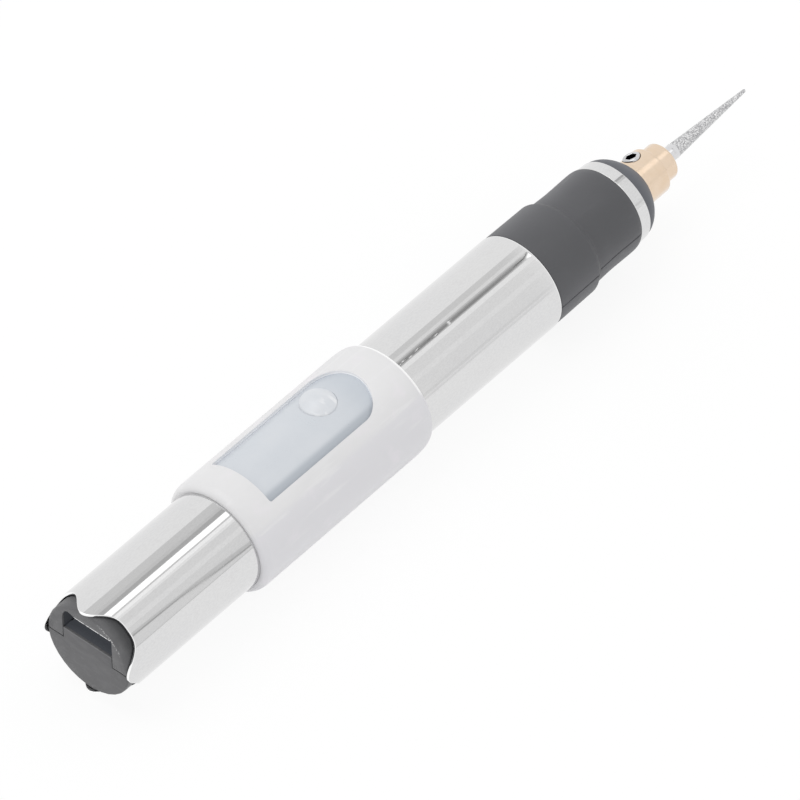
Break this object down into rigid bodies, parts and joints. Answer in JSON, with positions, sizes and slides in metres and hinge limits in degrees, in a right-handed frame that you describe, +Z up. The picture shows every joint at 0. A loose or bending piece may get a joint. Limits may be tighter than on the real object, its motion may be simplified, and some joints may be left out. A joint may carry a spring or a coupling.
{
  "type": "electric engraving pen",
  "caption": "Battery engraving pen: plated tube, frosted sleeve with push button, waisted grip and a brass chuck holding a tapered diamond burr.",
  "frame": {"origin": "middle of the pen's length and width, at the height of the flat facet under the sleeve", "axes": "+X along the pen from the tail plug to the burr, +Z up through the sleeve's window and the push button"},
  "size_m": [0.1788, 0.0228, 0.0233],
  "materials": {
    "plated_tube": "polished plate",
    "frosted_sleeve": "frosted, translucent",
    "window_panel": "smoked, satin",
    "push_button": "milky, satin",
    "grip": "fine matte moulding",
    "nose": "satin moulding",
    "trim_ring": "polished plate",
    "chuck": "turned brass",
    "set_screw": "blackened steel",
    "burr": "steel shank with diamond grit",
    "tail_plug": "fine matte moulding",
    "cell": "wrapped cell",
    "spring_steel": "bright steel wire",
    "contact": "sprung contact strip",
    "black_moulding": "plain moulding",
    "circuit_board": "board",
    "motor_steel": "plated steel",
    "magnet": "ferrite",
    "copper": "copper",
    "bronze": "sintered bronze",
    "red_lead": "insulated lead",
    "black_lead": "insulated lead"
  },
  "bodies": {
    "housing": {"barrel_tube": "plated_tube", "frosted_sleeve": "frosted_sleeve", "window_panel": "window_panel", "switch_carrier": "black_moulding", "switch_board": "circuit_board", "tactile_switch": "black_moulding", "tail_insert": "tail_plug", "grip_upper_shell": "grip", "grip_lower_shell": "grip", "trim_ring": "trim_ring", "nose_cap": "nose", "bulkhead": "black_moulding", "bulkhead_contact": "contact", "switch_wire": "red_lead", "battery_wire": "black_lead", "motor_can": "motor_steel", "front_bush": "bronze", "rear_bush": "bronze", "motor_magnet_upper": "magnet", "motor_magnet_lower": "magnet", "motor_end_bell": "black_moulding", "motor_terminal_near": "contact", "motor_terminal_far": "contact"},
    "spindle": {"motor_shaft": "motor_steel", "armature_core": "motor_steel", "armature_winding_1": "copper", "armature_winding_2": "copper", "armature_winding_3": "copper", "commutator": "copper", "brass_chuck": "chuck"},
    "burr": {"diamond_burr": "burr"},
    "clamp_screw": {"set_screw": "set_screw"},
    "button": {"switch_button": "push_button", "switch_plunger": "black_moulding"},
    "drawer": {"battery_drawer": "tail_plug", "battery_rear": "cell", "battery_front": "cell", "battery_spring": "spring_steel", "drawer_contact": "contact"}
  },
  "joints": [
    {"name": "drawer_pull", "type": "slide", "parent": "housing", "child": "drawer", "axis": [-1, 0, 0], "range_m": [0, 0.1]},
    {"name": "button_press", "type": "slide", "parent": "housing", "child": "button", "axis": [0, 0, -1], "range_m": [0, 0.0005], "stiffness_N_per_m": 1500, "springref_m": -0.0005},
    {"name": "spindle_spin", "type": "hinge", "parent": "housing", "child": "spindle", "pos_m": [0.05294, 0, 0.01145], "axis": [1, 0, 0], "continuous": true},
    {"name": "burr_pull", "type": "slide", "parent": "spindle", "child": "burr", "axis": [1, 0, 0], "range_m": [0, 0.012]},
    {"name": "clamp_screw_travel", "type": "slide", "parent": "spindle", "child": "clamp_screw", "axis": [0, 0.5299, 0.848], "range_m": [0, 0.001]}
  ]
}
